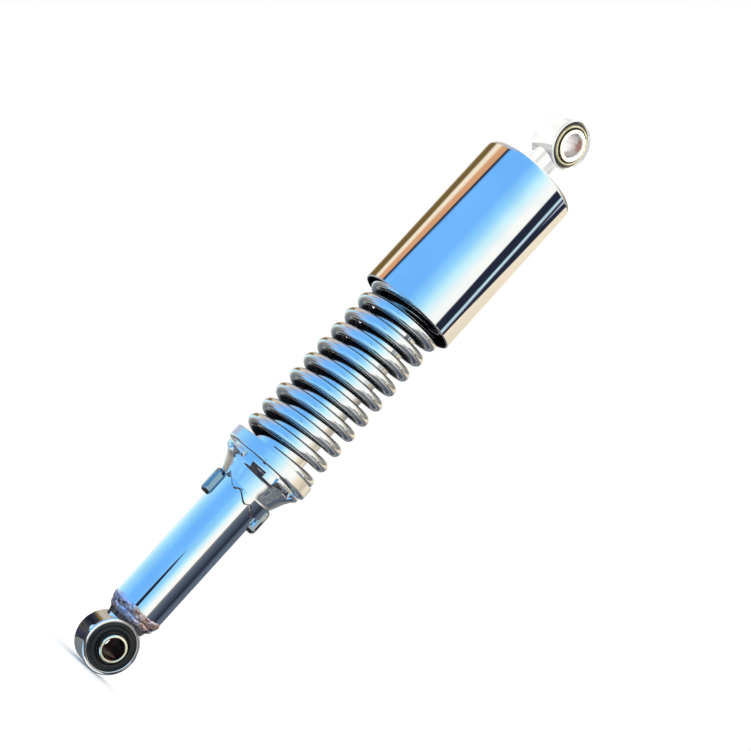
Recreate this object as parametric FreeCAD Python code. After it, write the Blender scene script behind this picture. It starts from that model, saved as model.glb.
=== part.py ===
import FreeCAD, Part
import math
import os

# Twin-shock rear damper with a coil-over spring, a chrome top cover and a cam preload adjuster.
# Millimetres. The origin is the centre of the upper eye's bore, +Z runs up along the damper, and the
# upper eye's bore lies along Y. Heights are counted up from the lower eye's centre.

Vector = FreeCAD.Vector
UP = Vector(0, 0, 1)
CENTRE = Vector(0, 0, 0)

# Driving dimensions
EYE_TO_EYE = 330.0            # centre to centre, fully extended
LOWER_TURN = -16.3            # how far the damper body is turned about Z, degrees
FIT = 0.05                    # radial clearance of a running fit

# Upper eye
UPPER_RING_R = 13.4
UPPER_BUSH_R = 11.1
UPPER_SLEEVE_R = 8.2
UPPER_BORE_R = 6.0
UPPER_RING_LENGTH = 16.0
UPPER_BUSH_LENGTH = 15.4
UPPER_SLEEVE_LENGTH = 17.0

# Lower eye
LOWER_RING_R = 14.0
LOWER_BUSH_R = 12.1
LOWER_SLEEVE_R = 6.8
LOWER_BORE_R = 5.0
LOWER_RING_LENGTH = 14.2
LOWER_BUSH_LENGTH = 15.6
LOWER_SLEEVE_LENGTH = 20.8

# Cover
COVER_R = 26.1
COVER_WALL = 1.0
COVER_TOP_THICKNESS = 1.5
COVER_RIM = 212.6
COVER_TOP = 305.0
COVER_SHOULDER = 2.4
COVER_INSIDE_TOP = COVER_TOP - COVER_TOP_THICKNESS

# Spring
SPRING_R = 22.3
WIRE = 6.3
COIL_R = SPRING_R - WIRE / 2
SPRING_PITCH = 9.93
SPRING_FOOT = 113.0
SPRING_HEAD = 293.0
SPRING_START_ANGLE = -142.0   # where the wire leaves the lower seat

# Seat and adjuster
SEAT_R = 23.4
SEAT_BOTTOM = 110.0
SEAT_RIM = 117.0
SEAT_RIM_WALL = 0.7
ADJUSTER_BORE_R = 13.4
ADJUSTER_SLEEVE_R = 14.8
ADJUSTER_FLANGE_R = 22.0
ADJUSTER_FLANGE = (106.0, 109.0)
SPANNER_SLOTS = 9
SPANNER_SLOT_WIDTH = 6.6
SPANNER_SLOT_DEPTH = 2.2
FIRST_SLOT_ANGLE = -158.6

# Cam edge and its lugs
LUG_ANGLES = (-32.9, 147.1)
LUG_TOP = 96.0
LUG_LENGTH = 14.0
LUG_WIDTH = 6.0
LUG_OUTER_R = 17.1
NOTCH_STEP_ANGLE = 36.0
NOTCH_COUNT = 5
NOTCH_LIFT = 2.4
NOTCH_DEPTH = 2.0
CREST_PLACE = 0.67            # where the crest lies between one notch and the next
LUG_HALF_ANGLE = 14.5         # half a lug at the tube, and its play
STOP_LOW = 85.0
CAM_SECTIONS = 60

# Damper body
TUBE_R = 13.2
TUBE_WALL = 1.6
TUBE_FOOT = 20.5
TUBE_TOP = 221.0
TUBE_BORE_R = TUBE_R - TUBE_WALL
PRESSURE_R = 10.4
PRESSURE_BORE_R = 9.2
PRESSURE_FOOT = 33.0
GUIDE = (203.0, 213.0)
SEAL = (213.0, 218.0)

# Rod and piston
ROD_R = 5.0
ROD_STEP_R = 3.5
ROD_TOP = 316.6
PISTON = (180.0, 190.0)
PISTON_R = 9.0
PISTON_RING_WIDTH = 3.0
BUMP_STOP = (276.0, 291.0)


def z_of(height):
    """The Z of a height above the lower eye."""
    return height - EYE_TO_EYE


def turned(outline):
    """The solid of revolution about Z of (radius, height) points."""
    points = [Vector(radius, 0, z_of(height)) for radius, height in outline]
    face = Part.Face(Part.makePolygon(points + points[:1]))
    return face.revolve(CENTRE, UP, 360)


def tube(outer, inner, low, high):
    """A plain round tube about Z."""
    return turned([(inner, low), (outer, low), (outer, high), (inner, high)])


def rod(radius, low, high):
    """A plain round bar about Z."""
    return Part.makeCylinder(radius, high - low, Vector(0, 0, z_of(low)))


def cross_tube(outer, inner, length, height, chamfer=0.0):
    """A round tube along Y, centred on the damper's axis."""
    half = length / 2
    outline = [
        (inner, -half),
        (outer - chamfer, -half),
        (outer, -half + chamfer),
        (outer, half - chamfer),
        (outer - chamfer, half),
        (inner, half),
    ]
    distinct = []
    for point in outline:
        if point not in distinct:
            distinct.append(point)
    points = [Vector(radius, along, z_of(height)) for radius, along in distinct]
    face = Part.Face(Part.makePolygon(points + points[:1]))
    return face.revolve(Vector(0, 0, z_of(height)), Vector(0, 1, 0), 360)


def cross_rod(radius, length, height):
    """A round bar along Y, centred on the damper's axis."""
    return Part.makeCylinder(radius, length, Vector(0, -length / 2, z_of(height)), Vector(0, 1, 0))


def bush(outer, inner, length, height):
    """A rubber bush along Y whose ends carry two round ridges."""
    half = length / 2
    width = outer - inner
    ridge = 0.5
    profile = [
        (inner, half - ridge),
        (inner + 0.12 * width, half),
        (inner + 0.36 * width, half),
        (inner + 0.44 * width, half - ridge),
        (inner + 0.56 * width, half - ridge),
        (inner + 0.64 * width, half),
        (inner + 0.88 * width, half),
        (outer, half - ridge),
    ]
    mirrored = [(radius, -along) for radius, along in reversed(profile)]
    points = [Vector(radius, along, z_of(height)) for radius, along in profile + mirrored]
    face = Part.Face(Part.makePolygon(points + points[:1]))
    return face.revolve(Vector(0, 0, z_of(height)), Vector(0, 1, 0), 360)


def with_body(shape):
    """The shape turned about Z with the damper body."""
    placed = shape.copy()
    placed.rotate(CENTRE, UP, LOWER_TURN)
    return placed


def helix_wire(radius, wire_radius, pitch, low, high, start_angle):
    """A coil of round wire whose centre line climbs from low to high."""
    path = Part.makeHelix(pitch, high - low, radius)
    section = Part.Wire(Part.makeCircle(wire_radius, Vector(radius, 0, 0), Vector(0, 1, 0)))
    coil = Part.Wire(path).makePipeShell([section], True, True)
    coil.rotate(CENTRE, UP, start_angle)
    coil.translate(Vector(0, 0, z_of(low)))
    return coil


# Upper half


def upper_eye():
    """The ring, with the neck and threaded hub that stand on the cover."""
    ring = cross_tube(UPPER_RING_R, 0, UPPER_RING_LENGTH, EYE_TO_EYE, 0.6)
    neck = turned([(0, COVER_TOP), (11.5, COVER_TOP), (11.5, COVER_TOP + 1.6), (8.0, COVER_TOP + 4.5),
                   (7.6, EYE_TO_EYE - 10), (0, EYE_TO_EYE - 10)])
    hole = cross_rod(UPPER_BUSH_R, UPPER_RING_LENGTH + 2, EYE_TO_EYE)
    thread = rod(ROD_R, COVER_TOP - 1, ROD_TOP)
    return ring.fuse(neck).cut(hole).cut(thread).removeSplitter()


def upper_bush_rubber():
    return bush(UPPER_BUSH_R, UPPER_SLEEVE_R + FIT, UPPER_BUSH_LENGTH, EYE_TO_EYE)


def upper_bush_sleeve():
    return cross_tube(UPPER_SLEEVE_R, UPPER_BORE_R, UPPER_SLEEVE_LENGTH, EYE_TO_EYE, 0.5)


def upper_cover():
    """A thin drawn cup, mouth down, with a rounded shoulder."""
    inner_r = COVER_R - COVER_WALL
    outer = rod(COVER_R, COVER_RIM, COVER_TOP)
    top_edge = [e for e in outer.Edges if e.BoundBox.ZMin > z_of(COVER_TOP) - 0.01]
    outer = outer.makeFillet(COVER_SHOULDER, top_edge)
    hollow = rod(inner_r, COVER_RIM - 1, COVER_INSIDE_TOP)
    inside_edge = [e for e in hollow.Edges if e.BoundBox.ZMin > z_of(COVER_INSIDE_TOP) - 0.01]
    hollow = hollow.makeFillet(COVER_SHOULDER - COVER_WALL, inside_edge)
    return outer.cut(hollow).cut(rod(ROD_R + 0.2, COVER_INSIDE_TOP - 1, COVER_TOP + 1))


def upper_spring_seat():
    """A dished steel washer under the cover's closed end."""
    top = COVER_INSIDE_TOP
    return turned([(ROD_R + 0.2, top - 2), (15.2, top - 2), (15.2, top - 5), (16.2, top - 5),
                   (16.2, top - 2), (21.8, top - 2), (21.8, top), (ROD_R + 0.2, top)])


def upper_seat_rubber():
    """The rubber ring between the spring and its upper seat."""
    return tube(21.6, 16.4, SPRING_HEAD, COVER_INSIDE_TOP - 2)


def rod_lock_nut():
    """A hexagon nut that locks the rod under the cover."""
    low = BUMP_STOP[1] + 2
    high = COVER_INSIDE_TOP - 2
    corners = [
        Vector(9.8 * math.cos(math.radians(60 * i)), 9.8 * math.sin(math.radians(60 * i)), z_of(low))
        for i in range(7)
    ]
    block = Part.Face(Part.makePolygon(corners)).extrude(Vector(0, 0, high - low))
    return block.cut(rod(ROD_R, low - 1, high + 1))


def bump_stop_washer():
    return tube(12.5, ROD_R, BUMP_STOP[1], BUMP_STOP[1] + 2)


def bump_stop():
    """A rubber buffer with one groove, tapered towards the damper."""
    low, high = BUMP_STOP
    return turned([(ROD_R + 0.1, low), (8.0, low), (9.5, low + 5), (8.2, low + 6.5), (8.2, low + 7.5),
                   (10.8, low + 9.5), (11.2, high), (ROD_R + 0.1, high)])


def piston_rod():
    """The rod, with a stepped end that the piston is bolted to."""
    return rod(ROD_R, PISTON[1], ROD_TOP).fuse(rod(ROD_STEP_R, PISTON[0] - 9, PISTON[1])).removeSplitter()


def top_out_spring():
    """The short spring that softens full extension."""
    low = PISTON[1] + 1.2
    return helix_wire(7.0, 0.9, 3.6, low, GUIDE[0] - 1.2, 0)


def piston():
    """A piston with a ring groove and eight flow holes."""
    low, high = PISTON
    middle = (low + high) / 2
    groove = PISTON_RING_WIDTH / 2 + FIT
    body = turned([(ROD_STEP_R, low), (PISTON_R, low), (PISTON_R, middle - groove), (7.4, middle - groove),
                   (7.4, middle + groove), (PISTON_R, middle + groove), (PISTON_R, high), (ROD_STEP_R, high)])
    for i in range(8):
        angle = math.radians(45 * i)
        place = Vector(5.6 * math.cos(angle), 5.6 * math.sin(angle), z_of(low) - 1)
        body = body.cut(Part.makeCylinder(0.8, high - low + 2, place))
    return body


def piston_ring():
    middle = (PISTON[0] + PISTON[1]) / 2
    half = PISTON_RING_WIDTH / 2
    return tube(PRESSURE_BORE_R - FIT / 2, 7.5, middle - half, middle + half)


def piston_valve_shims():
    """The stack of thin washers that closes the piston's holes."""
    top = PISTON[0]
    return turned([(ROD_STEP_R, top - 2), (5.0, top - 2), (5.0, top - 1.4), (6.4, top - 1.4), (6.4, top - 0.8),
                   (7.8, top - 0.8), (7.8, top), (ROD_STEP_R, top)])


def piston_nut():
    top = PISTON[0] - 2
    corners = [
        Vector(6.4 * math.cos(math.radians(60 * i)), 6.4 * math.sin(math.radians(60 * i)), z_of(top - 6))
        for i in range(7)
    ]
    block = Part.Face(Part.makePolygon(corners)).extrude(Vector(0, 0, 6))
    return block.cut(rod(ROD_STEP_R, top - 7, top + 1))


# Spring, seat and adjuster


def main_spring():
    low = SPRING_FOOT + WIRE / 2
    high = SPRING_HEAD - WIRE / 2
    return helix_wire(COIL_R, WIRE / 2, SPRING_PITCH, low, high, SPRING_START_ANGLE)


def lower_spring_seat():
    """A shallow cup that holds the spring's foot and rides on the adjuster."""
    return turned([(ADJUSTER_BORE_R, SEAT_BOTTOM), (SEAT_R - 0.8, SEAT_BOTTOM), (SEAT_R, SEAT_BOTTOM + 0.8),
                   (SEAT_R, SEAT_RIM), (SEAT_R - SEAT_RIM_WALL, SEAT_RIM), (SEAT_R - SEAT_RIM_WALL, SPRING_FOOT),
                   (ADJUSTER_BORE_R, SPRING_FOOT)])


def cam_height(angle):
    """The height of the cam's edge at an angle past the lug that stands in its first notch."""
    ceiling = LUG_TOP + 0.15
    last = NOTCH_STEP_ANGLE * (NOTCH_COUNT - 1)
    ramp = ceiling - NOTCH_LIFT * min(max(angle, 0), last) / NOTCH_STEP_ANGLE
    step = angle / NOTCH_STEP_ANGLE
    if step < CREST_PLACE:
        return ramp
    if angle > last:
        return ramp + NOTCH_DEPTH
    place = step - math.floor(step)
    if place < CREST_PLACE:
        share = 1 - place / CREST_PLACE
    else:
        share = (place - CREST_PLACE) / (1 - CREST_PLACE)
    return ramp + NOTCH_DEPTH * (0.5 - 0.5 * math.cos(math.pi * share))


def cam_section(angle, high):
    """An upright rectangle across the sleeve's wall, from below its edge up to a height."""
    a = math.radians(angle)
    direction = Vector(math.cos(a), math.sin(a), 0)
    low = Vector(0, 0, z_of(STOP_LOW - 8))
    top = Vector(0, 0, z_of(high))
    inner = direction * (ADJUSTER_BORE_R - 3)
    outer = direction * (ADJUSTER_SLEEVE_R + 8)
    return Part.makePolygon([inner + low, outer + low, outer + top, inner + top, inner + low])


def cam_cutter(lug_angle):
    """What is cut away under one of the cam's two ramps."""
    first = -LUG_HALF_ANGLE
    sweep = NOTCH_STEP_ANGLE * (NOTCH_COUNT - 1) + 2 * LUG_HALF_ANGLE
    angles = [first + sweep * i / CAM_SECTIONS for i in range(CAM_SECTIONS + 1)]
    sections = [cam_section(lug_angle + angle, cam_height(angle)) for angle in angles]
    return Part.makeLoft(sections, True, False)


def preload_adjuster():
    """A slotted flange that flares from a sleeve whose edge is a two-ramp cam."""
    low, high = ADJUSTER_FLANGE
    body = turned([(ADJUSTER_BORE_R, STOP_LOW), (ADJUSTER_SLEEVE_R, STOP_LOW), (ADJUSTER_SLEEVE_R, 94.5),
                   (16.2, 97.5), (17.8, 101.5), (19.6, low), (ADJUSTER_FLANGE_R, low),
                   (ADJUSTER_FLANGE_R, high), (20.0, high), (20.0, SEAT_BOTTOM), (ADJUSTER_BORE_R, SEAT_BOTTOM)])
    for i in range(SPANNER_SLOTS):
        depth = SPANNER_SLOT_DEPTH
        slot = Part.makeBox(depth + 2, SPANNER_SLOT_WIDTH, high - low + 2,
                            Vector(ADJUSTER_FLANGE_R - depth, -SPANNER_SLOT_WIDTH / 2, z_of(low) - 1))
        slot.rotate(CENTRE, UP, FIRST_SLOT_ANGLE + 360 * i / SPANNER_SLOTS)
        body = body.cut(slot)
    for lug_angle in LUG_ANGLES:
        body = body.cut(cam_cutter(lug_angle))
    return body


# Damper body


def stop_lugs():
    """Two upright rounded bars on the tube, which the cam stands on."""
    lugs = []
    r = LUG_WIDTH / 2
    for angle in LUG_ANGLES:
        low = Vector(TUBE_R - 0.6, 0, z_of(LUG_TOP - LUG_LENGTH + r))
        reach = LUG_OUTER_R - TUBE_R + 0.6
        lower = Part.makeCylinder(r, reach, low, Vector(1, 0, 0))
        upper = Part.makeCylinder(r, reach, low + Vector(0, 0, LUG_LENGTH - 2 * r), Vector(1, 0, 0))
        middle = Part.makeBox(reach, 2 * r, LUG_LENGTH - 2 * r, low - Vector(0, r, 0))
        bar = lower.fuse(upper).fuse(middle).removeSplitter()
        front = [e for e in bar.Edges if e.BoundBox.XMin > LUG_OUTER_R - 0.01]
        bar = bar.makeFillet(0.8, front)
        bar.rotate(CENTRE, UP, angle)
        lugs.append(bar.cut(rod(TUBE_R, STOP_LOW - 20, LUG_TOP + 20)))
    return Part.makeCompound(lugs)


def lower_tube():
    return tube(TUBE_R, TUBE_BORE_R, TUBE_FOOT, TUBE_TOP)


def pressure_tube():
    return tube(PRESSURE_R, PRESSURE_BORE_R, PRESSURE_FOOT, GUIDE[0])


def foot_valve():
    """The valve block that stands in the tube's foot and closes the pressure tube."""
    low = PRESSURE_FOOT - 5
    body = turned([(0, low), (TUBE_BORE_R, low), (TUBE_BORE_R, PRESSURE_FOOT), (PRESSURE_BORE_R, PRESSURE_FOOT),
                   (PRESSURE_BORE_R, PRESSURE_FOOT + 5), (0, PRESSURE_FOOT + 5)])
    for i in range(6):
        angle = math.radians(60 * i)
        place = Vector(5.5 * math.cos(angle), 5.5 * math.sin(angle), z_of(low) - 1)
        body = body.cut(Part.makeCylinder(1.0, 12, place))
    return body


def rod_guide():
    """The bronze bush that the rod slides in."""
    low, high = GUIDE
    return turned([(ROD_R + FIT, low), (TUBE_BORE_R, low), (TUBE_BORE_R, high), (ROD_R + FIT, high)])


def rod_oil_seal():
    low, high = SEAL
    return tube(TUBE_BORE_R, ROD_R + FIT, low, high)


def body_cap():
    """The ring that closes the tube's mouth."""
    return turned([(ROD_R + 0.5, SEAL[1]), (TUBE_BORE_R, SEAL[1]), (TUBE_BORE_R, TUBE_TOP), (TUBE_R, TUBE_TOP),
                   (TUBE_R, TUBE_TOP + 1.2), (TUBE_R - 0.8, TUBE_TOP + 2), (ROD_R + 0.5, TUBE_TOP + 2)])


def dust_wiper():
    return turned([(ROD_R + FIT, TUBE_TOP + 2), (8.2, TUBE_TOP + 2), (7.6, TUBE_TOP + 4),
                   (ROD_R + FIT, TUBE_TOP + 4.6)])


def bottom_cap():
    """The dished plug in the tube's foot, which narrows to the lower eye."""
    body = turned([(0, 6), (9.0, 6), (9.8, 12), (11.4, 16.5), (TUBE_R - 0.4, TUBE_FOOT), (TUBE_BORE_R, TUBE_FOOT),
                   (TUBE_BORE_R, PRESSURE_FOOT - 5), (8.0, PRESSURE_FOOT - 5), (0, PRESSURE_FOOT - 8)])
    return body.cut(with_body(cross_rod(LOWER_RING_R, 40, 0)))


def lower_weld_bead():
    """The broad weld over the joint of the tube and its cap."""
    bead = turned([(TUBE_R, TUBE_FOOT + 1.7), (TUBE_R + 0.8, TUBE_FOOT + 0.7), (TUBE_R + 0.9, TUBE_FOOT - 1.5),
                   (TUBE_R + 0.4, TUBE_FOOT - 3.7), (12.2, TUBE_FOOT - 5.6), (10.9, TUBE_FOOT - 5.5),
                   (11.45, TUBE_FOOT - 4.0), (TUBE_R - 0.35, TUBE_FOOT), (TUBE_R, TUBE_FOOT)])
    return bead.cut(with_body(cross_rod(LOWER_RING_R, 40, 0)))


def lower_eye():
    return with_body(cross_tube(LOWER_RING_R, LOWER_BUSH_R, LOWER_RING_LENGTH, 0, 0.6))


def lower_bush_rubber():
    return with_body(bush(LOWER_BUSH_R, LOWER_SLEEVE_R + FIT, LOWER_BUSH_LENGTH, 0))


def lower_bush_sleeve():
    return with_body(cross_tube(LOWER_SLEEVE_R, LOWER_BORE_R, LOWER_SLEEVE_LENGTH, 0, 0.5))


PARTS = (
    upper_eye, upper_bush_rubber, upper_bush_sleeve, upper_cover, upper_spring_seat, upper_seat_rubber,
    rod_lock_nut, bump_stop_washer, bump_stop, piston_rod, top_out_spring, piston, piston_ring,
    piston_valve_shims, piston_nut, main_spring, lower_spring_seat, preload_adjuster, stop_lugs,
    lower_tube, pressure_tube, foot_valve, rod_guide, rod_oil_seal, body_cap, dust_wiper, bottom_cap,
    lower_weld_bead, lower_eye, lower_bush_rubber, lower_bush_sleeve,
)

os.makedirs("parts", exist_ok=True)
for make in PARTS:
    shape = make()
    shape.exportStep("parts/" + make.__name__ + ".step")
    solids = len(shape.Solids)
    print(make.__name__, "valid" if shape.isValid() else "NOT VALID", solids, round(shape.Volume, 1))
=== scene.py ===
import bpy
import bmesh
import math
from mathutils import Matrix, Quaternion, Vector, noise


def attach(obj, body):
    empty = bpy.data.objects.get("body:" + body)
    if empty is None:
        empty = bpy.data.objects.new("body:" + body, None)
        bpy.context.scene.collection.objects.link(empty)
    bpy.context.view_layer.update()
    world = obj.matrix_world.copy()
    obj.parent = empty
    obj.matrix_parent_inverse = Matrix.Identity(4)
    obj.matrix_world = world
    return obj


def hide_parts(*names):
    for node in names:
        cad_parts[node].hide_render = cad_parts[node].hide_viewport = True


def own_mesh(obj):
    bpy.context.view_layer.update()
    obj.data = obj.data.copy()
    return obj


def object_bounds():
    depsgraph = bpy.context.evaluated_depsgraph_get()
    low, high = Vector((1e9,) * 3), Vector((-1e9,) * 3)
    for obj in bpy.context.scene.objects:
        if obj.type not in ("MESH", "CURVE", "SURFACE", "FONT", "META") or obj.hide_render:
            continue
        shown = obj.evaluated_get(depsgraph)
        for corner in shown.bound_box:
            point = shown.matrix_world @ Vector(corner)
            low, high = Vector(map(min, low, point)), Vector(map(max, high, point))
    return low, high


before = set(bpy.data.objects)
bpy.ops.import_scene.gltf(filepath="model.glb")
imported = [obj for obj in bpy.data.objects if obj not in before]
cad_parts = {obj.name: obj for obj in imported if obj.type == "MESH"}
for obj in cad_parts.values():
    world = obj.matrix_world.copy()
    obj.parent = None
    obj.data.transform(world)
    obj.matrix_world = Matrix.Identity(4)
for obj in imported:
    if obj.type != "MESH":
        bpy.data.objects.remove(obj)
cad_low, cad_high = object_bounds()

# Twin-shock rear damper. Shapes are in millimetres until make_piece() turns them into metres, and
# heights are counted up from the lower eye's centre, which is 330 below the origin.
EYE_TO_EYE = 330.0
LOWER_TURN = -16.3

UPPER_RING_R = 13.4
UPPER_BUSH_R = 11.1
UPPER_SLEEVE_R = 8.2
UPPER_BORE_R = 6.0
UPPER_RING_LENGTH = 16.0
UPPER_BUSH_LENGTH = 15.4
UPPER_SLEEVE_LENGTH = 17.0

LOWER_RING_R = 14.0
LOWER_BUSH_R = 12.1
LOWER_SLEEVE_R = 6.8
LOWER_BORE_R = 5.0
LOWER_RING_LENGTH = 14.2
LOWER_BUSH_LENGTH = 15.6
LOWER_SLEEVE_LENGTH = 20.8

COVER_R = 26.1
COVER_WALL = 1.0
COVER_RIM = 212.6
COVER_TOP = 305.0
COVER_SHOULDER = 2.4

SPRING_R = 22.3
WIRE = 6.3
SPRING_PITCH = 9.93
SPRING_FOOT = 113.0
SPRING_HEAD = 293.0
SPRING_START_ANGLE = -142.0

SEAT_R = 23.4
SEAT_BOTTOM = 110.0
SEAT_RIM = 117.0
ADJUSTER_BORE_R = 13.4
ADJUSTER_SLEEVE_R = 14.8
ADJUSTER_FLANGE_R = 22.0
SPANNER_SLOTS = 9
SPANNER_SLOT_HALF_ANGLE = 8.6
SPANNER_SLOT_FLOOR_R = 19.8
FIRST_SLOT_ANGLE = -158.6

LUG_ANGLES = (-32.9, 147.1)
LUG_TOP = 96.0
LUG_LENGTH = 14.0
LUG_WIDTH = 6.0
LUG_OUTER_R = 17.1
LUG_ROUND = 2.1
NOTCH_STEP_ANGLE = 36.0
NOTCH_COUNT = 5
NOTCH_LIFT = 2.4
NOTCH_DEPTH = 2.0
CREST_PLACE = 0.67
LUG_HALF_ANGLE = 14.5
STOP_LOW = 85.0

TUBE_R = 13.2
TUBE_WALL = 1.6
TUBE_FOOT = 20.5
TUBE_TOP = 221.0

# The painted shade on the spring's side facing the axis starts at the wire's middle and is complete this far
# in from there
SPRING_PAINTED_SHADE = 1.3
# Where the painted shade inside the cover and the painted highlight on the upper bush's ridge start and
# where they are complete, in millimetres
COVER_PAINTED_SHADE_SIDE = (0.6, 0.75)         # in from the cover's outer skin
COVER_PAINTED_SHADE_TOP = (1.0, 1.2)           # down from the cover's top
RIDGE_HIGHLIGHT_INNER = (9.1, 9.3)         # out from the upper eye's axis
RIDGE_HIGHLIGHT_OUTER = (10.3, 10.1)
RIDGE_HIGHLIGHT_FOOT = (14.0, 13.8)        # down from the upper eye's axis

# Studio
SOFT_STRENGTH = 1.3           # the white light on everything that isn't a mirror
MIRRORED_STRENGTH = 1.62      # makes up for what the plating takes from each reflection
POST_PLACE = -11.8            # a dark post that stands low behind the camera, in degrees
POST_HALF_WIDTH = 6.5
POST_FOOT = -2.7
POST_RISE = 3.1
# Dark mats on the floor: degrees round from the camera, then their inner and outer radius
MATS = ((-180, 180, 0.022, 0.100), (54, 180, 0.100, 0.250), (-180, -110, 0.100, 0.250))
BLUE_CARD = (-110, -50, 0.100, 0.250)     # a pale blue card on the floor, given in the same way
FLOOR_DROP = 0.0004           # how far the floor lies under the object
MAT_RISE = 0.0004             # how far the mats and then the blue card lie over its lowest point
BLUE_CARD_RISE = 0.0005
FENCE_SECTOR = (-200, -112)   # a low dark fence beside the lower eye, degrees round from the camera
FENCE_R = 0.050
FENCE_HEIGHT = 0.033
TENT_SECTOR = (-248, 112)     # a white tent all round the upper eye, degrees from the camera
TENT_R = 0.021
# The tent's outline from its open foot up, as radius and height in metres from the eye's centre
TENT_OUTLINE = ((0.0232, -0.0248), (TENT_R, -0.020), (TENT_R, 0.018), (0.012, 0.026), (0.001, 0.030))
LAMP_PLACE = 84.5             # the bright spot on the tent, in degrees from the camera
LAMP_RISE = 19.5
LAMP_DISTANCE = 0.0185
LAMP_R = 0.010
LAMP_STRENGTH = 5.0
BAND_TEAR = 0.010             # how uneven the bands' edges are, as a share of a whole turn
BLACK = (0, 0, 0, 1)          # the base colour of a card that only glows

# Camera
CAMERA_AZIMUTH = -132.26      # where the camera stands round the damper, degrees from +X
CAMERA_RADIUS = 0.8156
CAMERA_HEIGHT = -0.280
AIM_AZIMUTH = 47.08
AIM_ELEVATION = 9.0
CAMERA_ROLL = 42.15
LENS = 81.6


# Mesh helpers


def z_of(height):
    return height - EYE_TO_EYE


def eased(outline, closed=True, steps=5):
    """An outline whose (radius, height, round) corners are turned into arcs of that radius.

    A held point just outside each arc keeps the long straight sides shaded flat."""
    out = []
    count = len(outline)
    for i, corner in enumerate(outline):
        here = Vector(corner[:2])
        at_end = not closed and i in (0, count - 1)
        if len(corner) < 3 or corner[2] <= 0 or at_end:
            out.append((here.x, here.y))
            continue
        before = Vector(outline[i - 1][:2]) - here
        after = Vector(outline[(i + 1) % count][:2]) - here
        half = before.angle(after) / 2
        run = corner[2] / math.tan(half)
        run = min(run, 0.48 * before.length, 0.48 * after.length)
        radius = run * math.tan(half)
        middle = (before.normalized() + after.normalized()).normalized()
        centre = here + middle * (radius / math.sin(half))
        start = here + before.normalized() * run - centre
        end = here + after.normalized() * run - centre
        if before.length > 2.6 * run + 0.4:
            held = here + before.normalized() * (run * 1.1 + 0.12)
            out.append((held.x, held.y))
        for k in range(steps + 1):
            spoke = start.lerp(end, k / steps).normalized() * radius
            point = centre + spoke
            out.append((max(point.x, 0.0), point.y))
        if after.length > 2.6 * run + 0.4:
            held = here + after.normalized() * (run * 1.1 + 0.12)
            out.append((held.x, held.y))
    return out


def lathe(outline, segments=192, closed=True):
    """Vertices and faces of an anticlockwise (radius, height) outline turned round Z."""
    vertices = []
    rows = []
    for radius, height in outline:
        if radius < 1e-6:
            rows.append([len(vertices)] * segments)
            vertices.append((0.0, 0.0, height))
            continue
        rows.append(list(range(len(vertices), len(vertices) + segments)))
        for s in range(segments):
            angle = 2 * math.pi * s / segments
            vertices.append((radius * math.cos(angle), radius * math.sin(angle), height))
    faces = []
    pairs = list(zip(rows, rows[1:]))
    if closed:
        pairs.append((rows[-1], rows[0]))
    for low, high in pairs:
        for s in range(segments):
            t = (s + 1) % segments
            ring = [low[s], low[t], high[t], high[s]]
            distinct = list(dict.fromkeys(ring))
            if len(distinct) > 2:
                faces.append(distinct)
    return vertices, faces


def upright(shape):
    """The shape with its heights counted from the lower eye moved into the frame."""
    vertices, faces = shape
    return [(x, y, z_of(z)) for x, y, z in vertices], faces


def across(shape, height, turn=0.0):
    """The shape with its own Z laid along Y, centred at a height and turned about Z."""
    vertices, faces = shape
    place = Matrix.Translation((0, 0, z_of(height)))
    place = Matrix.Rotation(math.radians(turn), 4, "Z") @ place @ Matrix.Rotation(math.radians(90), 4, "X")
    return [tuple(place @ Vector(v)) for v in vertices], faces


def joined(*shapes):
    vertices = []
    faces = []
    for more_vertices, more_faces in shapes:
        start = len(vertices)
        vertices.extend(more_vertices)
        faces.extend([[start + i for i in face] for face in more_faces])
    return vertices, faces


def make_mesh(name, shape, sharp=32.0):
    """A shaded mesh object in metres."""
    vertices, faces = shape
    mesh = bpy.data.meshes.new(name)
    mesh.from_pydata([(x / 1000, y / 1000, z / 1000) for x, y, z in vertices], [], faces)
    build = bmesh.new()
    build.from_mesh(mesh)
    bmesh.ops.remove_doubles(build, verts=build.verts, dist=1e-7)
    bmesh.ops.recalc_face_normals(build, faces=build.faces)
    build.to_mesh(mesh)
    build.free()
    smooth(mesh, sharp)
    piece = bpy.data.objects.new(name, mesh)
    bpy.context.scene.collection.objects.link(piece)
    return piece


def smooth(mesh, sharp):
    mesh.polygons.foreach_set("use_smooth", [True] * len(mesh.polygons))
    mesh.set_sharp_from_angle(angle=math.radians(sharp))
    mesh.update()


def make_piece(node, shape, body, slot, sharp=32.0, finish=None):
    """A detailed piece that stands for one CAD node."""
    piece = make_mesh(node + "_detail", shape, sharp)
    return finish_piece(piece, node, body, slot, finish)


def finish_piece(piece, node, body, slot, finish=None):
    """The piece on its body, in its slot's own finish or in a named variant of it."""
    piece.data.materials.clear()
    piece.data.materials.append(FINISHES[finish or slot])
    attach(piece, body)
    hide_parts(node)
    return piece


def combined(first, second, operation):
    """The first object's mesh changed by the second, which is then removed."""
    change = first.modifiers.new("combine", "BOOLEAN")
    change.operation = operation
    change.solver = "EXACT"
    change.object = second
    graph = bpy.context.evaluated_depsgraph_get()
    mesh = bpy.data.meshes.new_from_object(first.evaluated_get(graph))
    first.modifiers.clear()
    first.data = mesh
    bpy.data.objects.remove(second)
    return first


# Material helpers


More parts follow.
